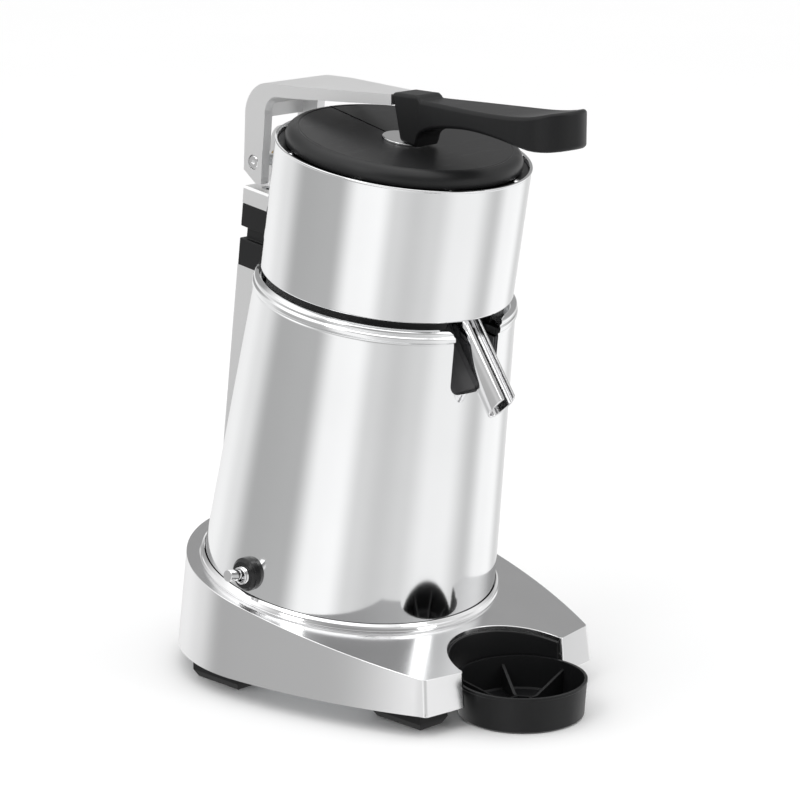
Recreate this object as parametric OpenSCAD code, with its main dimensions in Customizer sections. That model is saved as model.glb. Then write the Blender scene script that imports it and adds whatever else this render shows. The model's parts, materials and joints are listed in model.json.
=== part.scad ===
// Lever citrus press: leaning body on a wedge base, juice bowl with spout, strainer,
// reamer on a direct-drive motor, rear column with pivoting press arm, toggle switch, drip tray.
// Millimetres, +Z up, front is -Y. Origin on the floor under the point where the leaning
// body axis meets the sloping deck of the base.

/* [Posture] */
// forward lean of the body axis, degrees
lean = 10.1; // [4:0.1:16]
// height of the deck on the body axis
deck_h = 65.5; // [50:0.5:90]
// forward lean of the rear column, degrees
column_lean = 7.6; // [5:0.1:10]

/* [Base] */
// rear rounding radius of the base outline
base_rear_r = 112; // [104:1:130]
// radius of the long side curves of the base
base_side_r = 420; // [300:5:700]
// forward reach of the prong corners
prong_reach = 150; // [140:1:180]
// radius of the drip tray cut-out
cutout_r = 48; // [44:1:58]
// centre of the cut-out in front of the origin
cutout_reach = 160.5; // [150:0.5:185]
// wall thickness of the base casting
base_wall = 5; // [3:0.5:8]
// height of the rubber feet
foot_h = 14; // [8:1:24]
// length of a foot
foot_len = 45; // [30:1:50]
// width of a foot
foot_w = 26; // [18:1:28]

/* [Body] */
// outer radius of the body at the deck
body_foot_r = 101.4; // [96:0.2:106]
// outer radius of the body under the shoulder
body_neck_r = 88.8; // [82:0.2:94]
// length of the body along its axis
body_len = 203.4; // [190:0.2:240]
// wall thickness of the body shell
body_wall = 2.6; // [1.5:0.1:4]
// width of the spout recess in the body
recess_w = 42; // [34:1:60]
// depth of the spout recess below the shoulder
recess_depth = 40; // [36:1:60]

/* [Bowl] */
// outer radius of the juice bowl
bowl_r = 85; // [84:0.5:96]
// height of the juice bowl
bowl_h = 90; // [80:1:120]
// bowl wall thickness
bowl_wall = 1.5; // [1:0.1:3]
// black gap ring height under the bowl
seat_h = 8.4; // [5:0.1:14]
// outer width of the spout gutter
spout_w = 17.6; // [14:0.2:26]
// depth of the spout gutter
spout_depth = 25; // [18:0.5:30]
// length of the spout gutter
spout_len = 66; // [50:1:90]

/* [Strainer and cone] */
// radial space between the bowl and the strainer basket
sieve_gap = 13; // [9:0.5:18]
// number of strainer slots
sieve_slots = 36; // [18:1:48]
// skirt radius of the reamer
reamer_r = 40; // [34:0.5:42]
// height of the reamer
reamer_h = 48.5; // [40:0.5:50]
// inner radius of the press cup
cup_r = 43; // [42:0.5:50]

/* [Lid] */
// radial space between the lid and the bowl's inner wall
lid_gap = 4.5; // [3:0.1:9]
// height of the lid top over the bowl rim
lid_rise = 7.2; // [5:0.2:14]

/* [Column and arm] */
// width of the column and of the arm fork
column_w = 56; // [44:1:64]
// depth of the column
column_d = 26; // [22:0.5:32]
// rear face of the column top, behind the bowl rim
column_clear = 42.4; // [38:0.2:60]
// column top under the bowl rim
column_under = 35.6; // [30:0.2:50]
// radius of the pivot pin
pin_r = 4; // [3:0.25:5]
// thickness of a fork cheek
cheek_t = 7; // [5:0.5:10]

/* [Handle] */
// width of the handle block
block_w = 23; // [20:0.5:28]
// radius of the handle end
grip_r = 23; // [18:0.5:28]
// length from the arm joint to the centre of the handle end
grip_len = 128.5; // [110:0.5:170]

/* [Drip tray] */
// outer radius of the drip tray
tray_r = 43.6; // [36:0.2:44]
// height of the drip tray
tray_h = 24.8; // [16:0.2:30]
// centre of the drip tray in front of the origin
tray_reach = 162; // [154:0.5:176]

/* [Switch] */
// height of the switch above the deck
switch_s = 19; // [15:0.5:40]
// distance of the switch in front of the side line
switch_fwd = 2.7; // [0:0.1:10]

/* [Hidden] */
$fn = 96;
eps = 0.02;
slack = 0.3;
fit = 0.06;
big = 400;
base_side_tilt = 2.5;
base_rear_y = 1;
deck_t = 6;
deck_hole_r = 90;
plate_t = 1.5;
tip_drop = 7;
ring_r = body_foot_r + 2.2;
ring_h = 5;
seat_s0 = body_len;
bowl_s0 = body_len + seat_h;
rim_s = bowl_s0 + bowl_h;
sieve_r = bowl_r - sieve_gap;
lid_r = bowl_r - bowl_wall - lid_gap;
seat_r = bowl_r - 5;
mouth_r = bowl_r - 11;
seat_screw_r = bowl_r - 19;
ring_screw_r = bowl_r - 5.4;
column_back = bowl_r * cos(lean) - rim_s * sin(lean) + column_clear;
column_top = deck_h + rim_s * cos(lean) - column_under;
plate_s1 = body_len - 2.6;
plate_s0 = plate_s1 - 5;
lid_top = rim_s + lid_rise;
lid_t = 3;
skirt_s0 = rim_s - 1.3;
ring_s0 = rim_s - 8.1;
ring_s1 = rim_s - 3.2;
flange_s0 = ring_s0 - 1.2;
shaft_r = 6;
reamer_s0 = bowl_s0 + 28;
reamer_tip = reamer_s0 + reamer_h;
cup_s0 = reamer_s0 + 7;
cup_top = lid_top - 6;
recess_s0 = body_len - recess_depth;
pivot_back = 7.4;
pivot_up = 18.4;
pivot_y = column_back - pivot_back * cos(column_lean) - pivot_up * sin(column_lean);
pivot_z = column_top - pivot_back * sin(column_lean) + pivot_up * cos(column_lean);
arm_top = pivot_z + 55.5;
arm_t = 8;
tang_w = 12;
half_w = column_w / 2;
tab_s = lid_top + 1.6;
pin_fwd = 10.3;
block_y = 11.8 - pin_fwd * cos(lean) - lid_top * sin(lean);
grip_reach = grip_len - block_y;
spout_r = spout_w / 2;
spout_wall = 1.5;
switch_x = body_r(switch_s) - 0.1;
toggle_set = 10;
toggle_pin_r = 1.2;
toggle_pivot = switch_x + 3;
column_screw_x = half_w - 12;

side_cx = (base_side_r - base_rear_r) * cos(base_side_tilt);
side_cy = base_rear_y + (base_side_r - base_rear_r) * sin(base_side_tilt);
foot_rear_x = base_rear_r - 19.5;
foot_front_x = side_x(-119) - 29;
boss_rear_x = base_rear_r - 16;
boss_front_x = side_x(-84) - 16;
boss_back_x = 0.41 * base_rear_r;
boss_back_y = base_rear_y + 0.81 * base_rear_r;
foot_spots = [[-foot_rear_x, 23], [foot_rear_x, 23], [-foot_front_x, -119], [foot_front_x, -119]];
boss_spots = [[-boss_rear_x, 54], [boss_rear_x, 54], [-boss_front_x, -76], [boss_front_x, -76],
              [-boss_back_x, boss_back_y], [boss_back_x, boss_back_y]];

// ---------- frames and helpers ----------
module tilt() translate([0, 0, deck_h]) rotate([lean, 0, 0]) children();
module column_frame() translate([0, column_back, column_top]) rotate([column_lean, 0, 0]) children();
module above_deck(s = 0) tilt() translate([-big, -big, s]) cube([2 * big, 2 * big, big]);
module side_extrude(w) rotate([90, 0, 90]) translate([0, 0, -w / 2]) linear_extrude(w) children();
module tube(ro, ri, z0, z1) {
    difference() {
        translate([0, 0, z0]) cylinder(r = ro, h = z1 - z0);
        translate([0, 0, z0 - 1]) cylinder(r = ri, h = z1 - z0 + 2);
    }
}
module rod(r, z0, z1) translate([0, 0, z0]) cylinder(r = r, h = z1 - z0);
module hexagon(af, h) cylinder(r = af / sqrt(3), h = h, $fn = 6);
function body_r(s) = body_foot_r + (body_neck_r - body_foot_r) * s / (body_len - 13);
function deck_z(y) = deck_h + y * tan(lean);
function side_x(y) = sqrt(pow(base_side_r, 2) - pow(side_cy - y, 2)) - side_cx;
module body_cone(extra) {
    translate([0, 0, -10]) cylinder(r1 = body_r(-10) + extra, r2 = body_r(body_len + 20) + extra,
                                    h = body_len + 30);
}

// ---------- base outline ----------
module base_outline(inset = 0) {
    corner_x = side_x(-prong_reach);
    difference() {
        union() {
            translate([0, base_rear_y]) circle(r = base_rear_r - inset, $fn = 180);
            intersection() {
                translate([-side_cx, side_cy]) circle(r = base_side_r - inset, $fn = 360);
                translate([side_cx, side_cy]) circle(r = base_side_r - inset, $fn = 360);
                polygon([[-big, base_rear_y - 4], [big, base_rear_y - 4],
                         [corner_x + 30, -prong_reach + 9 + inset], [corner_x, -prong_reach + inset],
                         [0, -prong_reach - tip_drop - 5 + inset], [-corner_x, -prong_reach + inset],
                         [-corner_x - 30, -prong_reach + 9 + inset]]);
            }
        }
        translate([0, -cutout_reach]) circle(r = cutout_r + inset, $fn = 120);
    }
}

module base_shell() color("silver") {
    difference() {
        translate([0, 0, foot_h]) linear_extrude(110) base_outline();
        above_deck();
        difference() {
            translate([0, 0, foot_h - 1]) linear_extrude(110) base_outline(base_wall);
            above_deck(-deck_t);
            for (p = boss_spots) translate([p[0], p[1], foot_h + plate_t]) cylinder(r = 5, h = 90);
        }
        tilt() rod(deck_hole_r, -30, 10);
        for (p = boss_spots) translate([p[0], p[1], foot_h - 1]) cylinder(r = 1.6, h = 16);
        translate([0, base_rear_y + base_rear_r + 5, 40]) rotate([90, 0, 0]) cylinder(r = 8.1, h = 20);
    }
}

module bottom_plate() color("gray") {
    difference() {
        translate([0, 0, foot_h]) linear_extrude(plate_t) base_outline(base_wall + slack);
        for (p = boss_spots) translate([p[0], p[1], 0]) cylinder(r = 1.7, h = 40);
        for (p = foot_spots) translate([p[0], p[1], 0]) cylinder(r = 2.6, h = 40);
        for (i = [-4:4]) translate([i * 12 - 2, -40, 0]) cube([4, 50, 40]);
    }
}

module plate_screws() color("silver") {
    for (p = boss_spots) translate([p[0], p[1], 0]) {
        rod(3, foot_h - 2, foot_h);
        rod(1.5, foot_h - eps, foot_h + 14);
    }
}

module foot_block() {
    difference() {
        translate([0, foot_len / 2, 0]) rotate([90, 0, 0]) linear_extrude(foot_len)
            polygon([[-foot_w / 2 + 3, 0], [foot_w / 2 - 3, 0], [foot_w / 2, 5], [foot_w / 2, foot_h],
                     [-foot_w / 2, foot_h], [-foot_w / 2, 5]]);
        for (m = [0, 1]) mirror([0, m, 0]) translate([-foot_w, foot_len / 2, 0])
            rotate([90, 0, 90]) linear_extrude(2 * foot_w)
            polygon([[-3, -1], [1, -1], [1, 5], [0, 5]]);
        rod(6, -1, 5);
        rod(2.6, 0, foot_h + 1);
    }
}
module feet() color([0.08, 0.08, 0.08])
    for (p = foot_spots) translate([p[0], p[1], 0]) foot_block();

module foot_screws() color("silver")
    for (p = foot_spots) translate([p[0], p[1], 0]) {
        difference() {
            rod(5, 1.6, 5);
            translate([0, 0, 1]) hexagon(4, 2.6);
        }
        rod(2.5, 5 - eps, foot_h + 9);
    }

module foot_nuts() color("silver")
    for (p = foot_spots) translate([p[0], p[1], foot_h + plate_t]) difference() {
        hexagon(8, 4);
        translate([0, 0, -1]) cylinder(r = 2.55, h = 6);
    }

// ---------- body ----------
module skirt_ring() color("silver") tilt() {
    rotate_extrude($fn = 180) polygon([
        [body_foot_r + slack, 0], [ring_r, 0], [ring_r + 0.4, 1.4], [ring_r, 3],
        [ring_r - 0.8, 4.4], [body_foot_r + 0.9, ring_h], [body_foot_r + slack, ring_h]]);
}

module recess_shape(grow = 0) {
    w = recess_w / 2 + grow;
    r = 7 + grow;
    translate([0, -40, 0]) rotate([90, 0, 0]) linear_extrude(90) union() {
        translate([-w, recess_s0 + 7]) square([2 * w, recess_depth + 20]);
        for (m = [-1, 1]) translate([m * (w - r), recess_s0 + 7]) circle(r = r, $fn = 48);
        translate([-w + r, recess_s0 - grow]) square([2 * w - 2 * r, 20]);
    }
}

module body_shell() color("silver") tilt() {
    t = body_wall;
    s1 = body_len - 13;
    difference() {
        rotate_extrude($fn = 180) polygon([
            [body_foot_r, 0], [body_r(s1), s1], [body_r(s1) - 0.1, s1 + 5], [body_r(s1) - 0.9, s1 + 6],
            [body_r(s1) - 0.1, s1 + 7], [body_r(s1) - 0.6, s1 + 9], [body_r(s1) - 1.8, s1 + 11.2],
            [body_r(s1) - 3.8, s1 + 12.6], [body_r(s1) - 6, body_len], [mouth_r, body_len],
            [mouth_r, plate_s1], [body_r(s1) - t - 1, plate_s1], [body_r(s1) - t, plate_s1 - 1.5],
            [body_r(s1) - t, s1], [body_foot_r - t, 0]]);
        difference() {
            recess_shape();
            rod(60, 0, body_len + 9);
        }
        translate([-switch_x - 10, -switch_fwd, switch_s]) rotate([0, 90, 0]) cylinder(r = 6.3, h = 30);
        for (s = [60, 105, 150]) translate([0, body_foot_r + 19, s]) rotate([90, 0, 0]) cylinder(r = 2.7, h = 60);
    }
}

module motor_plate() color("silver") tilt() {
    difference() {
        rod(body_neck_r - body_wall - 1.3, plate_s0, plate_s1);
        rod(16, plate_s0 - 1, plate_s1 + 1);
        translate([-recess_w / 2 - 2.5, -100, plate_s0 - 1]) cube([recess_w + 5, 50, 12]);
        for (a = [45:90:315]) rotate([0, 0, a]) translate([46, 0, 0]) rod(3.1, plate_s0 - 1, plate_s1 + 1);
        for (a = [0:60:300]) rotate([0, 0, a]) translate([seat_screw_r, 0, 0]) rod(1.6, plate_s0 - 1, plate_s1 + 1);
    }
}

module recess_liner() color([0.16, 0.16, 0.17]) tilt() {
    t = 1.5;
    w = recess_w / 2 - 0.2;
    intersection() {
        difference() {
            side_extrude(2 * w) polygon([[-52.5, seat_s0 - eps], [-52.5, 195], [-86, 161.5],
                                         [-110, 161.5], [-110, seat_s0 - eps]]);
            side_extrude(2 * (w - t)) polygon([[-52.5 - t, seat_s0 + 5], [-52.5 - t, 195.6],
                                               [-86.6, 163.6], [-120, 163.6], [-120, seat_s0 + 5]]);
        }
        rod_cone(body_wall + slack);
    }
}
module rod_cone(less) {
    translate([0, 0, 100]) cylinder(r1 = body_r(100) - less, r2 = body_r(plate_s0) - less, h = plate_s0 - 100);
    rod(mouth_r - 0.4, plate_s0 - eps, seat_s0 - 0.05);
}

module bowl_seat() color([0.05, 0.05, 0.05]) tilt() {
    difference() {
        rod(seat_r, seat_s0, bowl_s0);
        rod(14.1, seat_s0 - 1, bowl_s0 + 1);
        translate([-recess_w / 2, -100, seat_s0 - 1]) cube([recess_w, 54, seat_h + 2]);
        for (a = [0:60:300]) rotate([0, 0, a]) translate([seat_screw_r, 0, 0]) {
            rod(1.6, seat_s0 - 1, bowl_s0);
            rod(3.6, bowl_s0 - 3, bowl_s0 + 1);
        }
    }
}

module seat_screws() color("silver") tilt()
    for (a = [0:60:300]) rotate([0, 0, a]) translate([seat_screw_r, 0, 0]) {
        rod(3.2, bowl_s0 - 3, bowl_s0 - 0.6);
        rod(1.5, plate_s0 - 2, bowl_s0 - 3 + eps);
    }

module shaft_seal() color([0.1, 0.1, 0.1]) tilt() tube(14, shaft_r + 0.08, seat_s0, bowl_s0 - 1);

// ---------- bowl, spout, strainer ----------
module bowl() color("silver") tilt() {
    difference() {
        union() {
            rotate_extrude($fn = 180) polygon([
                [11, bowl_s0], [bowl_r - 2, bowl_s0], [bowl_r - 0.6, bowl_s0 + 0.6],
                [bowl_r, bowl_s0 + 2], [bowl_r, rim_s - 0.7], [bowl_r - 0.4, rim_s],
                [bowl_r - bowl_wall + 0.4, rim_s], [bowl_r - bowl_wall, rim_s - 0.7],
                [bowl_r - bowl_wall, flange_s0], [bowl_r - 3, flange_s0], [bowl_r - 3, flange_s0 - 1],
                [bowl_r - bowl_wall, flange_s0 - 2.5], [bowl_r - bowl_wall, bowl_s0 + 4],
                [bowl_r - 3.5, bowl_s0 + 2], [13, bowl_s0 + 2.6], [13, bowl_s0 + 24], [11, bowl_s0 + 24]]);
        }
        translate([-spout_r + 2.3, 4 - bowl_r, bowl_s0 - 1]) cube([spout_w - 4.6, 28, 6]);
    }
}

module spout_place() translate([0, -ring_screw_r, bowl_s0 + 4.2]) rotate([135, 0, 0]) children();
module spout_section(t) {
    union() {
        translate([0, -spout_depth + spout_r]) circle(r = spout_r - t, $fn = 60);
        translate([-spout_r + t, -spout_depth + spout_r]) square([spout_w - 2 * t, spout_depth - spout_r + (t > 0 ? 5 : 0)]);
    }
}
module spout() color("silver") tilt() difference() {
    spout_place() translate([0, 0, -30]) linear_extrude(spout_len + 30) spout_section(0);
    spout_place() translate([0, 0, -40]) linear_extrude(spout_len + 60) spout_section(spout_wall);
    translate([-50, -200, bowl_s0]) cube([100, 300, 100]);
}

module sieve_basket() color("silver") tilt() difference() {
    rotate_extrude($fn = 180) polygon([
        [24, bowl_s0 + 14], [sieve_r, bowl_s0 + 14], [sieve_r, flange_s0], [bowl_r - bowl_wall - slack, flange_s0],
        [bowl_r - bowl_wall - slack, ring_s0], [sieve_r - 1.2, ring_s0], [sieve_r - 1.2, bowl_s0 + 15.4],
        [25.2, bowl_s0 + 15.4], [25.2, bowl_s0 + 22], [24, bowl_s0 + 22]]);
    for (i = [0:sieve_slots - 1]) rotate([0, 0, i * 360 / sieve_slots])
        translate([32, -1, bowl_s0 + 12]) cube([32, 2, 6]);
    for (a = [0:45:315]) rotate([0, 0, a + 22.5]) translate([ring_screw_r, 0, 0]) rod(1.6, flange_s0 - 1, ring_s0 + 1);
}

module splash_ring() color([0.05, 0.05, 0.05]) tilt() difference() {
    tube(bowl_r - bowl_wall - slack, sieve_r + 0.4, ring_s0, ring_s1);
    for (a = [0:45:315]) rotate([0, 0, a + 22.5]) translate([ring_screw_r, 0, 0]) rod(1.6, ring_s0 - 1, ring_s1 + 1);
}

module ring_screws() color("silver") tilt()
    for (a = [0:45:315]) rotate([0, 0, a + 22.5]) translate([ring_screw_r, 0, 0]) {
        difference() {
            union() {
                rod(3.4, ring_s1, ring_s1 + 0.8);
                translate([0, 0, ring_s1 + 0.8 - eps]) cylinder(r1 = 3.4, r2 = 2.4, h = 0.8);
            }
            translate([0, 0, ring_s1 + 0.7]) hexagon(2.5, 2);
        }
        rod(1.5, flange_s0 - 3, ring_s1 + eps);
    }

// ---------- column ----------
sleeve_z1 = -12;
sleeve_z0 = -56;
module column_bar() color("silver") difference() {
    column_frame() union() {
        translate([-half_w, -column_d, -290]) cube([column_w, column_d, 290 + sleeve_z0]);
        translate([-half_w + 8, -column_d + 5, sleeve_z0 - 1]) cube([column_w - 16, column_d - 10, sleeve_z1 - sleeve_z0 + 1]);
    }
    tilt() translate([-big, -big, -big]) cube([2 * big, 2 * big, big]);
    tilt() body_cone(slack);
    tilt() rod(ring_r + 0.7, -1, ring_h + slack);
    tilt() translate([0, 0, body_len - 14]) cylinder(r = body_neck_r + slack, h = 20);
    for (s = [60, 105, 150]) tilt() translate([0, body_r(s) + 7, s]) rotate([90, 0, 0]) cylinder(r = 2.55, h = 20);
    for (m = [-1, 1]) column_frame() translate([m * column_screw_x, -column_d / 2, 0]) rod(3.05, -42, 5);
}

module column_bolts() color("silver") tilt()
    for (s = [60, 105, 150]) translate([0, body_r(s) - body_wall - 0.4, s]) rotate([-90, 0, 0]) {
        translate([0, 0, -5]) difference() {
            hexagon(8, 5);
            translate([0, 0, -1]) cylinder(r = 1.6, h = 3);
        }
        rod(2.5, -eps, 8);
    }

module column_sleeve() color([0.06, 0.06, 0.06]) column_frame() difference() {
    translate([-half_w, -column_d, sleeve_z0 + 0.05]) cube([column_w, column_d, sleeve_z1 - sleeve_z0 - 0.1]);
    translate([-half_w + 7.9, -column_d + 4.9, sleeve_z0 - 1]) cube([column_w - 15.8, column_d - 9.8, 60]);
    difference() {
        translate([-half_w - 1, -column_d - 1, -36.8]) cube([column_w + 2, column_d + 2, 8.6]);
        translate([-half_w + 3.2, -column_d + 3.2, -40]) cube([column_w - 6.4, column_d - 6.4, 20]);
    }
}

module lug_profile() {
    translate([-column_d / 2, 30.5]) circle(r = column_d / 2 - 0.5, $fn = 72);
    translate([-column_d + 0.5, -eps]) square([column_d - 1, 30.5]);
}
module hinge_block() color("silver") column_frame() difference() {
    union() {
        difference() {
            translate([-half_w, -column_d, sleeve_z1]) cube([column_w, column_d, -sleeve_z1]);
            for (m = [0, 1]) mirror([m, 0, 0]) translate([half_w, -column_d / 2, 0]) rotate([90, 0, 0])
                translate([0, 0, -column_d]) linear_extrude(2 * column_d) polygon([[-2.5, 1], [1, 1], [1, -2.5]]);
        }
        side_extrude(13) lug_profile();
    }
    translate([-20, -pivot_back, pivot_up]) rotate([0, 90, 0]) cylinder(r = 6.02, h = 40);
    for (m = [-1, 1]) translate([m * column_screw_x, -column_d / 2, 0]) {
        rod(3.1, sleeve_z1 - 1, 1);
        rod(5.2, -6, 1);
    }
}

module hinge_screws() color("silver") column_frame()
    for (m = [-1, 1]) translate([m * column_screw_x, -column_d / 2, 0]) {
        difference() {
            rod(5, -6, -0.6);
            translate([0, 0, -3.4]) hexagon(5, 4);
        }
        rod(3, -38, -6 + eps);
    }

module lug_bushing() color([0.72, 0.55, 0.25]) column_frame() translate([-6.5, -pivot_back, pivot_up])
    rotate([0, 90, 0]) tube(6, pin_r + fit, 0, 13);

// ---------- motor ----------
stator_s0 = 40;
stator_s1 = 135;
module stator() color([0.3, 0.3, 0.32]) tilt() difference() {
    union() {
        rod(50, stator_s0, stator_s1);
        for (a = [0:15:345]) rotate([0, 0, a]) translate([49, -1, stator_s0 + 4]) cube([3.5, 2, stator_s1 - stator_s0 - 8]);
    }
    rod(32.6, stator_s0 - 1, stator_s1 + 1);
}
module bell(s0, s1, boss) difference() {
    union() {
        rod(50, s0, s1);
        rod(22, min(s0, boss), max(s1, boss));
    }
    for (a = [22.5:45:337.5]) rotate([0, 0, a]) translate([37, 0, 0]) rod(6, s0 - 1, s1 + 1);
    children();
}
module bell_upper() color("silver") tilt() bell(stator_s1, stator_s1 + 8, stator_s1 + 14) {
    rod(15.05, stator_s1 + 4, stator_s1 + 20);
    rod(9, stator_s1 - 1, stator_s1 + 20);
    for (a = [45:90:315]) rotate([0, 0, a]) translate([46, 0, 0]) rod(2.6, stator_s1 - 1, stator_s1 + 20);
}
module bell_lower() color("silver") tilt() bell(stator_s0 - 8, stator_s0, stator_s0 - 8) {
    rod(15.05, stator_s0 - 9, stator_s0 - 1);
    rod(9, stator_s0 - 9, stator_s0 + 1);
}
module motor_studs() color("silver") tilt()
    for (a = [45:90:315]) rotate([0, 0, a]) translate([46, 0, 0]) {
        rod(2.5, stator_s1 + 2, stator_s1 + 8 + eps);
        rod(4, stator_s1 + 8, plate_s0);
        rod(2.5, plate_s0 - eps, plate_s1);
    }
module ball_race(s0, s1) {
    tube(15, 12, s0, s1);
    tube(8.4, shaft_r + fit, s0, s1);
    for (a = [0:40:320]) rotate([0, 0, a]) translate([10.2, 0, (s0 + s1) / 2]) sphere(r = 1.78, $fn = 24);
}
module bearing_upper() color("lightgray") tilt() ball_race(stator_s1 + 4, stator_s1 + 13);
module bearing_lower() color("lightgray") tilt() ball_race(stator_s0 - 8, stator_s0 - 1);
module capacitor() color([0.85, 0.85, 0.85]) translate([-30, -82, foot_h + plate_t + 15]) rotate([0, 90, 0])
    cylinder(r = 12.5, h = 60);
module capacitor_clip() color("gray") translate([-6, -82, foot_h + plate_t]) difference() {
    union() {
        translate([0, -22, 0]) cube([12, 44, 1.5]);
        translate([0, 0, 15]) rotate([0, 90, 0]) cylinder(r = 14.2, h = 12);
    }
    translate([-1, 0, 15]) rotate([0, 90, 0]) cylinder(r = 12.6, h = 14);
}
module terminal_block() color([0.9, 0.88, 0.82]) translate([34, 30, foot_h + plate_t]) difference() {
    cube([34, 18, 14]);
    for (i = [0:2]) translate([6 + i * 11, 9, 3]) cylinder(r = 2.4, h = 20);
}

// ---------- switch and inlet ----------
module switch_place() tilt() translate([0, -switch_fwd, switch_s]) rotate([0, -90, 0]) children();
module switch_collar() color([0.05, 0.05, 0.05]) difference() {
    switch_place() difference() {
        rotate_extrude($fn = 96) polygon([[6.7, switch_x - 4], [11.3, switch_x - 4], [11.3, switch_x + 3.2],
            [10.4, switch_x + 4.8], [8.6, switch_x + 5.6], [6.7, switch_x + 5.6]]);
    }
    tilt() body_cone(slack);
}
module switch_bushing() color("silver") switch_place() difference() {
    union() {
        rod(6, switch_x - 14, switch_x + 6.2);
        translate([0, 0, switch_x + 5.8]) hexagon(12.2, 2);
    }
    rod(4.7, switch_x - 3, switch_x + 10);
    rod(3.5, switch_x - 20, switch_x);
    translate([0, 0, toggle_pivot]) rotate([90, 0, 0]) cylinder(r = toggle_pin_r + 0.05, h = 30, center = true);
}
module switch_body() color([0.1, 0.1, 0.12]) switch_place() difference() {
    translate([-13, -9, switch_x - 36]) cube([26, 18, 22 - eps]);
    rod(2.6, switch_x - 24, switch_x - 10);
}
module toggle_bat() color("silver") switch_place() translate([0, 0, toggle_pivot]) rotate([0, toggle_set, 0]) {
    sphere(r = 3.9, $fn = 48);
    rotate_extrude($fn = 48) polygon([[0, 0], [2.5, 0], [2.5, 4], [3, 9], [3.7, 13.4], [3.8, 15.4], [3.1, 16.4], [0, 16.4]]);
    rod(1.5, -9, 0.5);
    rotate([90, 0, 0]) cylinder(r = toggle_pin_r, h = 10.8, center = true);
}
gland_y = base_rear_y + base_rear_r;
module cable_gland() color([0.07, 0.07, 0.07]) translate([0, 0, 40]) difference() {
    union() {
        translate([0, gland_y - 10, 0]) rotate([-90, 0, 0]) cylinder(r = 8, h = 12);
        difference() {
            translate([0, gland_y - 3, 0]) rotate([-90, 0, 0]) hexagon(21, 9);
            translate([0, base_rear_y, -40]) cylinder(r = base_rear_r + 0.1, h = 90, $fn = 180);
        }
        translate([0, gland_y + 5.9, 0]) rotate([-90, 0, 0]) cylinder(r1 = 8.6, r2 = 6.2, h = 9);
    }
    translate([0, gland_y - 12, 0]) rotate([-90, 0, 0]) cylinder(r = 4, h = 40);
}
module gland_nut() color([0.07, 0.07, 0.07]) translate([0, gland_y - base_wall - 5.2, 40]) rotate([-90, 0, 0])
    difference() {
        hexagon(21, 4);
        translate([0, 0, -1]) cylinder(r = 8.05, h = 8);
    }

// ---------- arm, handle, press ----------
module arm_side() {
    r = 24;
    yb = pivot_y + 8;
    zt = arm_top;
    fillet = 13;
    zi = zt - arm_t;
    difference() {
        union() {
            polygon([[pivot_y - 7.5, pivot_z - 14.3], [pivot_y - 2, pivot_z - 14.3], [pivot_y + 9.5, pivot_z - 6],
                     [pivot_y + 7.4, zt - r], [yb - r, zt - r], [pivot_y - 12, zi - 5]]);
            translate([yb - r - 0.6, zt - r]) circle(r = r, $fn = 120);
            polygon([[block_y, zt + 0.8], [yb - r, zt], [yb - r, zi - 2], [pivot_y - 28, zi - 0.6], [block_y, zi + 1.8]]);
        }
        translate([pivot_y - 12 - fillet, zi - 0.5 - fillet]) circle(r = fillet, $fn = 72);
        polygon([[pivot_y - 60, zi - 0.7], [pivot_y - 12 - fillet, zi - 0.5], [pivot_y - 12 - fillet, 200], [pivot_y - 60, 200]]);
        polygon([[pivot_y - 26, zi - 0.5 - fillet], [pivot_y - 12.2, zi - 0.5 - fillet], [pivot_y - 8.4, pivot_z - 6],
                 [pivot_y - 7.5, pivot_z - 40], [pivot_y - 26, pivot_z - 40]]);
    }
}
module arm_plan() polygon([[-half_w, pivot_y + 30], [half_w, pivot_y + 30], [half_w, 24], [block_w / 2, block_y],
                           [block_w / 2, block_y - 1], [-block_w / 2, block_y - 1], [-block_w / 2, block_y], [-half_w, 24]]);
module arm() color([0.8, 0.8, 0.8]) difference() {
    union() {
        intersection() {
            side_extrude(column_w) arm_side();
            translate([0, 0, 250]) linear_extrude(250) arm_plan();
        }
        translate([-tang_w / 2, block_y - 24, arm_top - 5]) cube([tang_w, 25, 4.6]);
    }
    side_extrude(column_w - 2 * cheek_t) polygon([
        [pivot_y - 40, pivot_z - 40], [pivot_y + 30, pivot_z - 40], [pivot_y + 30, pivot_z + 29],
        [pivot_y + 2.4, pivot_z + 29], [pivot_y + 2.4, pivot_z + 38], [pivot_y - 4, pivot_z + 46],
        [pivot_y - 40, pivot_z + 46]]);
    translate([-half_w - 5, pivot_y, pivot_z]) rotate([0, 90, 0]) cylinder(r = pin_r + 0.05, h = column_w + 10);
    for (m = [-1, 1]) translate([m * (half_w - 1), pivot_y, pivot_z]) rotate([0, m * 90, 0]) cylinder(r = 5.1, h = 8);
    for (m = [-1, 1]) translate([m * (half_w - 1), pivot_y, pivot_z]) rotate([0, m * 90, 0])
        translate([0, 0, -1.4]) cylinder(r = 5.1, h = 8);
    tilt() translate([0, -pin_fwd, 0]) rod(3.6, lid_top, lid_top + 60);
}
module pivot_pin() color("silver") translate([-half_w + 2.4, pivot_y, pivot_z]) rotate([0, 90, 0]) difference() {
    rod(pin_r, 0, column_w - 4.8);
    rod(2.05, -1, 9);
    rod(2.05, column_w - 4.8 - 9, column_w);
}
module pivot_screws() color("silver") for (m = [0, 1]) mirror([m, 0, 0])
    translate([half_w - 2.4, pivot_y, pivot_z]) rotate([0, 90, 0]) {
        difference() {
            union() {
                rod(4.9, 0, 1.4);
                translate([0, 0, 1.4 - eps]) cylinder(r1 = 4.9, r2 = 4, h = 1);
            }
            translate([0, 0, 1]) hexagon(3, 3);
        }
        rod(2, -8, eps);
    }

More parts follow.
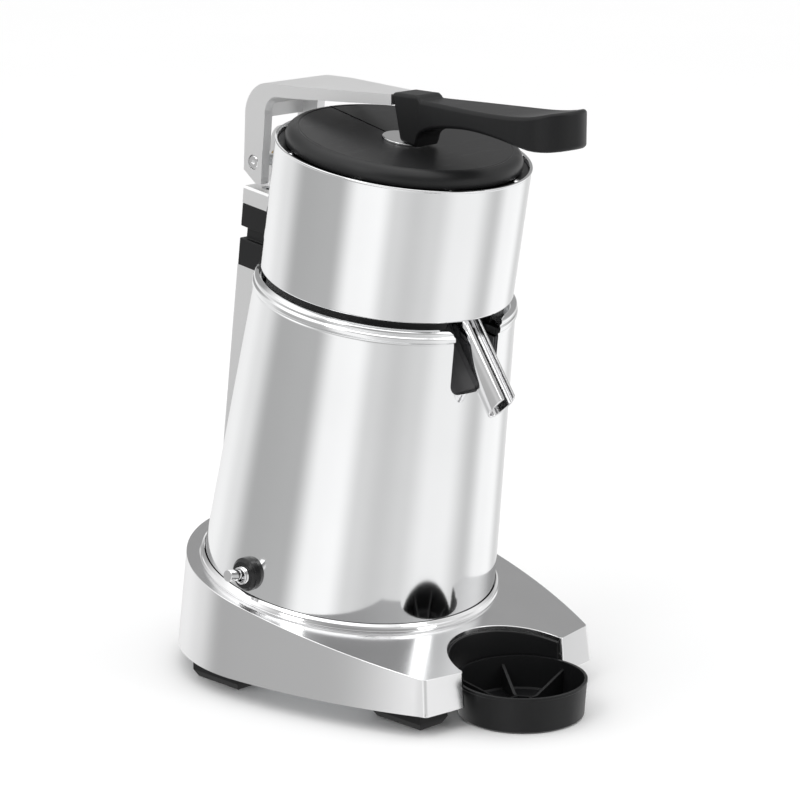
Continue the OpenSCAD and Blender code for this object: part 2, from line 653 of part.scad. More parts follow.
function handle_side_pts() = let (t = arm_top + 2.2, g = -grip_reach) [
    [block_y, t], [block_y - 23.5, t], [block_y - 25.5, t - 2.2], [block_y - 47, t - 2.8],
    [g + 49, t - 3.2], [g + 21, t - 3], [g + 6, t - 2.4], [g - 6, t - 0.8], [g - 15, t + 1.9],
    [g - grip_r - 1, t + 3.4], [g - grip_r - 1, t - 19], [g - 19, t - 22.6], [g - 9, t - 23], [g + 4, t - 21],
    [g + 20.4, t - 18.6], [g + 33, t - 16.8], [g + 46, t - 15.7], [block_y - 70.5, t - 15.2],
    [block_y - 58.5, t - 16], [block_y - 45.5, t - 18.2], [block_y - 35.5, t - 21.4], [block_y - 27.5, t - 24.4],
    [block_y - 22, t - 27.2], [block_y - 19, t - 32], [block_y - 19, t - 60], [block_y - 6.1, t - 60],
    [block_y - 5.7, t - 29.6]];
module handle() color([0.07, 0.07, 0.07]) difference() {
    intersection() {
        side_extrude(80) polygon(handle_side_pts());
        translate([0, 0, 330]) linear_extrude(120) union() {
            polygon([[-block_w / 2, block_y], [block_w / 2, block_y], [block_w / 2, block_y - 26],
                     [14.2, block_y - 45.5], [17.6, block_y - 63.5], [grip_r - 2.6, 45 - grip_reach],
                     [grip_r - 0.8, 25 - grip_reach], [grip_r - 0.3, -grip_reach - 3],
                     [0.3 - grip_r, -grip_reach - 3], [0.8 - grip_r, 25 - grip_reach], [2.6 - grip_r, 45 - grip_reach],
                     [-17.6, block_y - 63.5], [-14.2, block_y - 45.5],
                     [-block_w / 2, block_y - 26]]);
            translate([0, -grip_reach]) circle(r = grip_r, $fn = 120);
        }
        tilt() translate([-big, -big, tab_s]) cube([2 * big, 2 * big, 200]);
    }
    for (m = [0, 1]) mirror([m, 0, 0]) translate([0, block_y - 26, 0]) rotate([-90, 0, 0]) linear_extrude(33.5)
        polygon([[8.5, -arm_top + 30], [block_w / 2 + 0.1, -arm_top + 6], [30, -arm_top + 6], [30, -arm_top + 50],
                 [8.5, -arm_top + 50]]);
    translate([-tang_w / 2 - 0.1, block_y - 24.2, arm_top - 5.1]) cube([tang_w + 0.2, 30, 4.8]);
    tilt() translate([0, -pin_fwd, 0]) rod(3.55, lid_top, lid_top + 32.5);
}

module press_spindle() color("silver") tilt() {
    rod(8, cup_top, lid_top + eps);
    rod(15.5, lid_top, tab_s);
    translate([0, -pin_fwd, 0]) rod(3.5, tab_s - eps, lid_top + 32);
    rod(5, cup_top - 8.5, cup_top + eps);
}
module lid_clip() color([0.3, 0.3, 0.32]) tilt() tube(12, 8.02, cup_top + 1.4, cup_top + 2.6);

module press_cup() color("silver") tilt() {
    t = 3;
    h = cup_top - 3.4 - cup_s0;
    n = 10;
    middle = [for (i = [0:n]) [(cup_r + t / 2) * cos(90 * i / n), cup_s0 + (h + 1.7) * sin(90 * i / n)]];
    inner = [for (i = [0:n]) [cup_r * cos(90 * i / n), cup_s0 + h * sin(90 * i / n)]];
    outer = [for (i = [n:-1:0]) [(cup_r + t) * cos(90 * i / n), cup_s0 + (h + 3.4) * sin(90 * i / n)]];
    difference() {
        union() {
            rotate_extrude($fn = 120) polygon(concat(inner, outer));
            rod(14, cup_top - 6, cup_top);
            for (a = [0:60:300]) rotate([90, 0, a]) translate([0, 0, -0.8]) linear_extrude(1.6)
                polygon(concat([for (i = [1:n - 1]) middle[i]],
                               [for (i = [n - 1:-1:1]) [middle[i][0] * 0.93 - 1, middle[i][1] - 2.4]]));
        }
        rod(5.05, 0, cup_top + 5);
    }
}
module cup_nut() color("silver") tilt() translate([0, 0, cup_top - 10.4]) difference() {
    hexagon(14, 4.3);
    translate([0, 0, -1]) cylinder(r = 5.05, h = 8);
}

module lid() color([0.06, 0.06, 0.06]) tilt() difference() {
    rotate_extrude($fn = 180) polygon([
        [8.06, lid_top - lid_t], [lid_r - 6.5, lid_top - lid_t], [lid_r - 3.2, lid_top - lid_t - 1.6],
        [lid_r - 2.4, skirt_s0], [lid_r - 0.4, skirt_s0], [lid_r, skirt_s0 + 0.6], [lid_r, lid_top - 4.2],
        [lid_r - 0.9, lid_top - 2], [lid_r - 2.8, lid_top - 0.5], [lid_r - 4.8, lid_top],
        [8.06, lid_top]]);
    translate([-0.8, 16.5, skirt_s0 - 1]) cube([1.6, lid_r, 20]);
}

// ---------- spinning group ----------
module drive_shaft() color("silver") tilt() rod(shaft_r, 6, reamer_s0 + 30);
module rotor() color([0.55, 0.5, 0.45]) tilt() {
    tube(32, shaft_r + 0.02, stator_s0 + 10, stator_s1 - 10);
    tube(24, shaft_r + 0.02, stator_s0 + 4, stator_s0 + 10);
    tube(24, shaft_r + 0.02, stator_s1 - 10, stator_s1 - 4);
}
module fan() color([0.15, 0.15, 0.15]) tilt() difference() {
    union() {
        rod(12, 9, 26);
        rod(42, 9, 11);
        for (a = [0:40:320]) rotate([0, 0, a]) translate([11, -0.9, 10]) cube([30, 1.8, 14]);
    }
    rod(shaft_r + 0.02, 0, 40);
}
module reamer() color([0.92, 0.92, 0.9]) tilt() difference() {
    union() {
        rotate_extrude($fn = 120) polygon([
            [shaft_r + 0.04, reamer_s0 + 4], [reamer_r - 3, reamer_s0 + 4], [reamer_r - 1.8, reamer_s0],
            [reamer_r, reamer_s0], [reamer_r, reamer_s0 + 3], [reamer_r - 8, reamer_s0 + 7], [25, reamer_s0 + 14],
            [19, reamer_s0 + 24], [12.5, reamer_s0 + 34], [5, reamer_s0 + 43], [0, reamer_s0 + 45.5],
            [0, reamer_s0 + 31], [shaft_r + 0.04, reamer_s0 + 31]]);
        for (a = [0:45:315]) rotate([0, 0, a]) rotate([90, 0, 0]) translate([0, 0, -1.1]) linear_extrude(2.2)
            polygon([[7, reamer_s0 + 5], [reamer_r - 4, reamer_s0 + 4.4], [reamer_r - 6, reamer_s0 + 8], [27.6, reamer_s0 + 16],
                     [22, reamer_s0 + 26], [15, reamer_s0 + 36.5], [7, reamer_s0 + 45], [0, reamer_tip], [0, reamer_s0 + 40],
                     [7, reamer_s0 + 34]]);
    }
    translate([0, 0, 0]) rod(shaft_r + 0.04, reamer_s0 - 2, reamer_s0 + 31);
}

// ---------- drip tray ----------
module drip_tray() color([0.06, 0.06, 0.06]) translate([0, -tray_reach, 0]) {
    rotate_extrude($fn = 144) polygon([
        [0, 0], [tray_r - 3.2, 0], [tray_r - 1.8, 1.2], [tray_r - 0.3, tray_h - 2], [tray_r, tray_h - 1.6],
        [tray_r, tray_h], [tray_r - 2, tray_h], [tray_r - 3.4, 3.4], [tray_r - 5, 2.4], [0, 2.4]]);
    for (a = [0:60:300]) rotate([0, 0, a]) rotate([90, 0, 0]) translate([0, 0, -1]) linear_extrude(2)
        polygon([[8, 2], [tray_r - 2.6, 2], [tray_r - 1.8, tray_h - 5], [15, 8], [8, 8]]);
    translate([0, 0, 2]) difference() {
        hexagon(16, 7);
        translate([0, 0, 1]) hexagon(12, 8);
    }
}

// ---------- assembly ----------
base_shell();
bottom_plate();
plate_screws();
feet();
foot_screws();
foot_nuts();
skirt_ring();
body_shell();
motor_plate();
recess_liner();
bowl_seat();
seat_screws();
shaft_seal();
bowl();
spout();
sieve_basket();
splash_ring();
ring_screws();
column_bar();
column_bolts();
column_sleeve();
hinge_block();
hinge_screws();
lug_bushing();
stator();
bell_upper();
bell_lower();
motor_studs();
bearing_upper();
bearing_lower();
capacitor();
capacitor_clip();
terminal_block();
switch_collar();
switch_bushing();
switch_body();
cable_gland();
gland_nut();
arm();
pivot_pin();
pivot_screws();
handle();
press_spindle();
lid_clip();
press_cup();
cup_nut();
lid();
drive_shaft();
rotor();
fan();
reamer();
toggle_bat();
drip_tray();
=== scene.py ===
"""Looks for a lever citrus press: polished shells, black mouldings and a studio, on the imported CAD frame."""

import json
import logging
import math
from dataclasses import dataclass
from enum import Enum
from typing import Callable, ClassVar, Iterable, Sequence, Union

import bmesh
import bpy
from mathutils import Matrix, Vector


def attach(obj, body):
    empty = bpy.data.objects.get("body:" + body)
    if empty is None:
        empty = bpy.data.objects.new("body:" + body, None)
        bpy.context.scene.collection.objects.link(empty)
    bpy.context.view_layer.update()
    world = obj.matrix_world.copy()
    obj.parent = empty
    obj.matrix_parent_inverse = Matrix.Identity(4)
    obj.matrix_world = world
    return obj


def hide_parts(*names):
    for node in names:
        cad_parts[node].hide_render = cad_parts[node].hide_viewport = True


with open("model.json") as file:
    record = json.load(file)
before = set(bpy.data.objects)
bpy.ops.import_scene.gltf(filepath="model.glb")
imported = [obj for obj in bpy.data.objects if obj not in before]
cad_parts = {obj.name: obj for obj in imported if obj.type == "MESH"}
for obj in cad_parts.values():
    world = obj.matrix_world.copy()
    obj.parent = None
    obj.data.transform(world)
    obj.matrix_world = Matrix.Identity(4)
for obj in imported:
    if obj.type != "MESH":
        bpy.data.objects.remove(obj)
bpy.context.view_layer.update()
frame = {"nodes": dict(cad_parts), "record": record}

LOG = logging.getLogger("citrus_press")
MM = 0.001
LEAN = math.radians(10.1)
DECK_H = 65.5
FOOT_H = 14.0
BOWL_S = 211.8
RIM_S = 301.8
LID_S = 309.0
BOWL_R = 85.0
ARM_TOP = 399.78
TILT = Matrix.Translation((0, 0, DECK_H)) @ Matrix.Rotation(LEAN, 4, "X")
WORLD_FRAME = Matrix.Identity(4)
Point = tuple[float, ...]
Bands = tuple[tuple[float, float], ...]


class Axis(Enum):
    """The world axis a side outline is pushed along."""

    ACROSS = "x"
    UP = "z"


class Grain(Enum):
    """Direction in which a metal finish is drawn."""

    EVEN = (1.0, 1.0, 1.0)
    ROUND = (1.0, 1.0, 14.0)
    ALONG = (12.0, 1.0, 12.0)


# ---------------------------------------------------------------- shader tools
class Wire:
    """A shader socket that understands arithmetic."""

    def __init__(self, sheet: "Sheet", socket: bpy.types.NodeSocket) -> None:
        """Wraps one output socket of a sheet."""
        self.sheet, self.socket = sheet, socket

    def _op(self, name: str, a: object, b: object) -> "Wire":
        """Adds one Math node."""
        return self.sheet.add("ShaderNodeMath", {"operation": name}, {0: a, 1: b})

    def __add__(self, other: object) -> "Wire":
        """Sum."""
        return self._op("ADD", self, other)

    __radd__ = __add__

    def __sub__(self, other: object) -> "Wire":
        """Difference."""
        return self._op("SUBTRACT", self, other)

    def __rsub__(self, other: object) -> "Wire":
        """Reflected difference."""
        return self._op("SUBTRACT", other, self)

    def __mul__(self, other: object) -> "Wire":
        """Product."""
        return self._op("MULTIPLY", self, other)

    __rmul__ = __mul__

    def __pow__(self, other: object) -> "Wire":
        """Power."""
        return self._op("POWER", self, other)


class Sheet:
    """One material and its node tree."""

    def __init__(self, name: str) -> None:
        """Starts a material with a Principled shader.

        Args:
            name: The material's name.
        """
        self.material = bpy.data.materials.new(name)
        self.material.use_nodes = True
        self.tree = self.material.node_tree
        self.shader = next(n for n in self.tree.nodes if n.type == "BSDF_PRINCIPLED")

    def add(self, kind: str, settings: dict, inputs: dict, out: Union[int, str] = 0) -> Wire:
        """Adds one node.

        Args:
            kind: The node's type.
            settings: Properties set first; "stops" fills a colour ramp.
            inputs: Values or wires by socket name or index.
            out: The output that is returned.

        Returns:
            The chosen output as a wire.
        """
        node = self.tree.nodes.new(kind)
        for key, value in settings.items():
            if key == "stops":
                ramp = node.color_ramp
                while len(ramp.elements) < len(value):
                    ramp.elements.new(0.5)
                for element, (place, shade) in zip(ramp.elements, value):
                    element.position, element.color = place, (shade, shade, shade, 1)
            else:
                setattr(node, key, value)
        for key, value in inputs.items():
            self.feed(node.inputs[key], value)
        return Wire(self, node.outputs[out])

    def feed(self, socket: bpy.types.NodeSocket, value: object) -> None:
        """Links a wire to a socket, or sets its value."""
        if isinstance(value, Wire):
            self.tree.links.new(value.socket, socket)
        else:
            socket.default_value = value

    def place(self, stretch: Point = (1, 1, 1), turn: float = 0.0) -> Wire:
        """Object coordinates, turned about X and then stretched."""
        coords = self.add("ShaderNodeTexCoord", {}, {}, "Object")
        return self.add("ShaderNodeMapping", {"vector_type": "POINT"},
                        {"Vector": coords, "Rotation": (turn, 0, 0), "Scale": stretch})

    def noise(self, where: Wire, scale: float, detail: float = 3.0, rough: float = 0.55) -> Wire:
        """Fractal noise from 0 to 1."""
        inputs = {"Vector": where, "Scale": scale, "Detail": detail, "Roughness": rough}
        return self.add("ShaderNodeTexNoise", {}, inputs)

    def ramp(self, value: Wire, stops: Sequence[tuple[float, float]]) -> Wire:
        """Grey ramp."""
        return self.add("ShaderNodeValToRGB", {"stops": stops}, {0: value})

    def blend(self, factor: Wire, low: Point, high: Point) -> Wire:
        """Mix of two colours."""
        return self.add("ShaderNodeMix", {"data_type": "RGBA"},
                        {"Factor": factor, 6: (*low, 1), 7: (*high, 1)}, 2)

    def bump(self, height: Wire, strength: float, distance: float) -> Wire:
        """Bump normal."""
        return self.add("ShaderNodeBump", {}, {"Height": height, "Strength": strength, "Distance": distance})

    def dress(self, **inputs: object) -> bpy.types.Material:
        """Sets the shader's sockets, with _ for blanks in their names."""
        for key, value in inputs.items():
            self.feed(self.shader.inputs[key.replace("_", " ")], value)
        return self.material


@dataclass(frozen=True)
class Metal:
    """A metal finish with drawn lines, faint smears and tiny scratches."""

    name: str
    colour: Point
    gloss: float
    spread: float
    grain: Grain = Grain.EVEN
    line_height: float = 0.0
    tint: float = 0.05

    def make(self) -> bpy.types.Material:
        """Builds the material."""
        sheet = Sheet(self.name)
        lines = sheet.noise(sheet.place(self.grain.value, -LEAN), 260.0, 2.0)
        smear = sheet.ramp(sheet.noise(sheet.place(), 9.0, 4.0), [(0.35, 0.0), (0.7, 1.0)])
        streaks = sheet.noise(sheet.place((1, 6, 1), 0.6), 120.0, 5.0, 0.7)
        scratch = sheet.ramp(streaks, [(0.62, 0.0), (0.75, 1.0)])
        wear = lines * (self.spread * 0.5) + scratch * (self.spread * 0.3)
        dark = tuple(c * (1 - self.tint) for c in self.colour)
        inputs = {
            "Base_Color": sheet.blend(smear * 0.7 + lines * 0.3, self.colour, dark),
            "Roughness": smear * self.spread + wear + self.gloss,
        }
        if self.line_height:
            inputs["Normal"] = sheet.bump(lines, 0.25, self.line_height)
        sheet.feed(sheet.shader.inputs["Metallic"], 1.0)
        return sheet.dress(**inputs)


@dataclass(frozen=True)
class Moulding:
    """Moulded plastic or rubber with a fine spark-eroded grain."""

    name: str
    colour: Point
    gloss: float
    grain_scale: float
    grain_height: float
    level: float = 0.5

    def make(self) -> bpy.types.Material:
        """Builds the material."""
        sheet = Sheet(self.name)
        where = sheet.place()
        fine = sheet.noise(where, self.grain_scale, 3.0, 0.6)
        cloud = sheet.noise(where, 14.0, 4.0)
        streaks = sheet.noise(sheet.place((1, 3, 1), 0.4), 55.0, 5.0, 0.65)
        rub = sheet.ramp(streaks, [(0.55, 0.0), (0.72, 1.0)])
        pale = tuple(min(1.0, c * 1.35 + 0.004) for c in self.colour)
        sheet.feed(sheet.shader.inputs["Specular IOR Level"], self.level)
        return sheet.dress(
            Base_Color=sheet.blend(cloud * 0.8 + rub * 0.2, self.colour, pale),
            Roughness=cloud * 0.10 + fine * 0.08 - rub * 0.05 + (self.gloss - 0.09),
            Normal=sheet.bump(fine, 0.35, self.grain_height),
        )


class Finishes:
    """Every finish of the machine, made once, by record slot."""

    SHELL = Metal("shell_mirror_steel", (0.86, 0.865, 0.87), 0.065, 0.035, Grain.ROUND, 0.00001)
    TABLE = {
        "satin_steel": SHELL,
        "polished_steel": Metal("polished_trim_steel", (0.88, 0.88, 0.885), 0.06, 0.04),
        "cast_alloy": Metal("polished_casting", (0.82, 0.82, 0.825), 0.13, 0.07, Grain.EVEN, 0.00002),
        "arm_alloy": Metal("satin_casting", (0.90, 0.90, 0.90), 0.40, 0.08, Grain.ALONG, 0.00003),
        "zinc_steel": Metal("zinc_plated_steel", (0.60, 0.61, 0.62), 0.32, 0.12),
        "motor_steel": Metal("stacked_motor_steel", (0.36, 0.36, 0.38), 0.42, 0.12, Grain.ROUND, 0.00008),
        "bronze": Metal("sintered_bronze", (0.55, 0.38, 0.17), 0.42, 0.10),
        "black_plastic": Moulding("black_moulding", (0.0065, 0.0067, 0.0072), 0.42, 1700.0, 0.00006, 0.26),
        "lid_plastic": Moulding("lid_moulding", (0.0085, 0.0087, 0.0092), 0.40, 2100.0, 0.00004, 0.34),
        "liner_plastic": Moulding("liner_moulding", (0.075, 0.075, 0.078), 0.36, 1500.0, 0.00004, 0.5),
        "black_gloss": Moulding("black_gloss_moulding", (0.006, 0.006, 0.0065), 0.22, 900.0, 0.00002, 0.4),
        "black_rubber": Moulding("black_rubber", (0.009, 0.009, 0.0095), 0.62, 1300.0, 0.00009, 0.22),
        "white_plastic": Moulding("ivory_moulding", (0.80, 0.78, 0.71), 0.34, 1100.0, 0.00003),
        "grey_plastic": Moulding("grey_moulding", (0.24, 0.24, 0.26), 0.45, 1400.0, 0.00005),
    }

    def __init__(self) -> None:
        """Starts with nothing made."""
        self._made: dict[str, bpy.types.Material] = {}

    def get(self, key: str) -> bpy.types.Material:
        """Returns the material for a finish key."""
        if key not in self._made:
            self._made[key] = self.TABLE[key].make()
        return self._made[key]


# ---------------------------------------------------------------- mesh tools
def rounded(points: Iterable[Point], steps: int = 5) -> list[tuple[float, float]]:
    """Rounds the corners of a closed outline.

    Args:
        points: Corners as (a, b) or (a, b, radius).
        steps: Pieces in each rounding.

    Returns:
        The outline with arcs in place of the corners that have a radius.
    """
    corners = [(p[0], p[1], p[2] if len(p) > 2 else 0.0) for p in points]
    out: list[tuple[float, float]] = []
    for i, (a, b, r) in enumerate(corners):
        here = Vector((a, b))
        if r <= 0:
            out.append((a, b))
            continue
        back = (Vector(corners[i - 1][:2]) - here).normalized()
        ahead = (Vector(corners[(i + 1) % len(corners)][:2]) - here).normalized()
        half = max(back.angle(ahead) / 2, 0.02)
        reach = r / math.tan(half)
        start, end = here + back * reach, here + ahead * reach
        centre = here + (back + ahead).normalized() * (r / math.sin(half))
        for k in range(steps + 1):
            spoke = (start - centre).slerp(end - centre, k / steps).normalized()
            out.append(tuple(centre + spoke * r))
    return out


def smooth_line(points: Sequence[Point], steps: int = 6) -> list[tuple[float, float]]:
    """Runs a soft curve through points.

    Args:
        points: The points, ends included.
        steps: Pieces between two points.

    Returns:
        The points of the curve.
    """
    pts = [Vector(p[:2]) for p in points]
    pts = [pts[0] * 2 - pts[1]] + pts + [pts[-1] * 2 - pts[-2]]
    out = []
    for p0, p1, p2, p3 in zip(pts, pts[1:], pts[2:], pts[3:]):
        for k in range(steps):
            t = k / steps
            out.append(tuple(0.5 * ((2 * p1) + (p2 - p0) * t + (2 * p0 - 5 * p1 + 4 * p2 - p3) * t * t
                                    + (3 * p1 - p0 - 3 * p2 + p3) * t ** 3)))
    out.append(tuple(pts[-2]))
    return out


def spun(profile: Sequence[Point], steps: int = 192, closed: bool = True) -> bmesh.types.BMesh:
    """Turns an outline of (radius, height) round the upright axis.

    Args:
        profile: The outline.
        steps: Pieces round the turn.
        closed: True if the outline's last point joins its first.

    Returns:
        The mesh, in millimetres.
    """
    bm = bmesh.new()
    verts = [bm.verts.new((max(r, 0.0), 0, h)) for r, h in profile]
    pairs = list(zip(verts, verts[1:])) + ([(verts[-1], verts[0])] if closed else [])
    edges = [bm.edges.new(p) for p in pairs if p[0].co.x > 1e-6 or p[1].co.x > 1e-6]
    bmesh.ops.spin(bm, geom=verts + edges, cent=(0, 0, 0), axis=(0, 0, 1), angle=math.tau, steps=steps,
                   use_merge=True)
    bmesh.ops.remove_doubles(bm, verts=bm.verts[:], dist=1e-4)
    bmesh.ops.recalc_face_normals(bm, faces=bm.faces[:])
    return bm


def pushed(outline: Sequence[Point], low: float, high: float, axis: Axis = Axis.UP) -> bmesh.types.BMesh:
    """Pushes a flat outline into a prism.

    Args:
        outline: (x, y) for UP or (y, z) for ACROSS.
        low: Where it starts.
        high: Where it ends.
        axis: The direction.

    Returns:
        The closed prism, in millimetres.
    """
    bm = bmesh.new()
    if axis is Axis.UP:
        verts = [bm.verts.new((p[0], p[1], low)) for p in outline]
        move = Vector((0, 0, high - low))
    else:
        verts = [bm.verts.new((low, p[0], p[1])) for p in outline]
        move = Vector((high - low, 0, 0))
    face = bm.faces.new(verts)
    made = bmesh.ops.extrude_face_region(bm, geom=[face], use_keep_orig=True)
    moved = [g for g in made["geom"] if isinstance(g, bmesh.types.BMVert)]
    bmesh.ops.translate(bm, verts=moved, vec=move)
    bmesh.ops.recalc_face_normals(bm, faces=bm.faces[:])
    return bm


def sharp_edges(bm: bmesh.types.BMesh, degrees: float,
                test: Callable[[bmesh.types.BMEdge], bool] = lambda e: True) -> list[bmesh.types.BMEdge]:
    """Edges that fold by more than an angle and pass a test."""
    limit = math.radians(degrees)
    return [e for e in bm.edges if len(e.link_faces) == 2 and e.calc_face_angle(0) > limit and test(e)]


def soften(bm: bmesh.types.BMesh, edges: list[bmesh.types.BMEdge], width: float, segments: int = 3,
           clamp: bool = True) -> None:
    """Rounds edges of a mesh in millimetres."""
    bmesh.ops.bevel(bm, geom=edges, offset=width, offset_type="OFFSET", segments=segments, profile=0.5,
                    affect="EDGES", material=-1, clamp_overlap=clamp)


def height_at(line: Sequence[Point], y: float) -> float:
    """Height of a side line at a place, with its ends held."""
    points = sorted(line)
    for (y0, z0), (y1, z1) in zip(points, points[1:]):
        if y0 <= y <= y1:
            return z0 + (z1 - z0) * (y - y0) / max(y1 - y0, 1e-6)
    return points[0][1] if y < points[0][0] else points[-1][1]


class Shop:
    """Turns meshes into finished pieces that ride on the frame."""

    def __init__(self, finishes: Finishes) -> None:
        """Keeps the finishes.

        Args:
            finishes: The set of materials.
        """
        self.finishes = finishes
        self.count = 0

    def thing(self, name: str, bm: bmesh.types.BMesh, place: Matrix = WORLD_FRAME) -> bpy.types.Object:
        """Makes an object in metres from a mesh in millimetres, and frees the mesh."""
        if bm.calc_volume(signed=True) < 0:
            bmesh.ops.reverse_faces(bm, faces=bm.faces[:])
        bm.transform(Matrix.Scale(MM, 4) @ place)
        mesh = bpy.data.meshes.new(name)
        bm.to_mesh(mesh)
        bm.free()
        obj = bpy.data.objects.new(name, mesh)
        bpy.context.scene.collection.objects.link(obj)
        return obj

    def cut(self, obj: bpy.types.Object, tool: bpy.types.Object, how: str = "DIFFERENCE") -> None:
        """Applies one boolean and removes its tool."""
        mod = obj.modifiers.new("cut", "BOOLEAN")
        mod.object, mod.operation, mod.solver = tool, how, "EXACT"
        self.bake(obj)
        bpy.data.objects.remove(tool, do_unlink=True)

    def bake(self, obj: bpy.types.Object) -> None:
        """Applies an object's modifiers."""
        bpy.context.view_layer.update()
        graph = bpy.context.evaluated_depsgraph_get()
        mesh = bpy.data.meshes.new_from_object(obj.evaluated_get(graph))
        obj.modifiers.clear()
        old, obj.data = obj.data, mesh
        bpy.data.meshes.remove(old)
        mesh.name = obj.name

    def fit(self, obj: bpy.types.Object, body: str, slot: str, finish: str = "", nodes: Sequence[str] = (),
            edge: float = 0.0, segments: int = 3, sharp: float = 32.0) -> bpy.types.Object:
        """Finishes a piece.

        Args:
            obj: The object, at rest, in metres.
            body: The CAD body it rides on.
            slot: The record's material slot.
            finish: The finish key, if it isn't the slot's.
            nodes: The CAD nodes it stands for.
            edge: Rounding of its sharp edges, in millimetres.
            segments: Pieces in the rounding.
            sharp: The fold in degrees past which an edge is kept crisp.

        Returns:
            The object.
        """
        obj.data.materials.clear()
        obj.data.materials.append(self.finishes.get(finish or slot))
        for poly in obj.data.polygons:
            poly.material_index = 0
        if edge:
            mod = obj.modifiers.new("edge", "BEVEL")
            mod.width, mod.segments, mod.limit_method = edge * MM, segments, "ANGLE"
            mod.angle_limit, mod.profile = math.radians(28), 0.5
            mod.use_clamp_overlap = True
            self.bake(obj)
        for poly in obj.data.polygons:
            poly.use_smooth = True
        obj.data.set_sharp_from_angle(angle=math.radians(sharp))
        normal = obj.modifiers.new("faces", "WEIGHTED_NORMAL")
        normal.keep_sharp, normal.weight = True, 60
        self.bake(obj)
        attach(obj, body)
        if nodes:
            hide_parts(*nodes)
        self.count += 1
        LOG.info("piece %s on %s, %d faces", obj.name, body, len(obj.data.polygons))
        return obj

    def from_node(self, name: str, node: str, body: str, slot: str, finish: str = "", edge: float = 0.5,
                  segments: int = 3) -> bpy.types.Object:
        """Copies a CAD node, joins its faces and rounds its edges."""
        bm = bmesh.new()
        bm.from_mesh(frame["nodes"][node].data)
        bmesh.ops.remove_doubles(bm, verts=bm.verts[:], dist=2e-6)
        bmesh.ops.dissolve_limit(bm, angle_limit=math.radians(0.6), verts=bm.verts[:], edges=bm.edges[:])
        mesh = bpy.data.meshes.new(name)
        bm.to_mesh(mesh)
        bm.free()
        obj = bpy.data.objects.new(name, mesh)
        bpy.context.scene.collection.objects.link(obj)
        return self.fit(obj, body, slot, finish, [node], edge, segments)


# ---------------------------------------------------------------- sub-assemblies
def deck_at(y: float) -> float:
    """The height of the sloping deck at y."""
    return DECK_H + y * math.tan(LEAN)


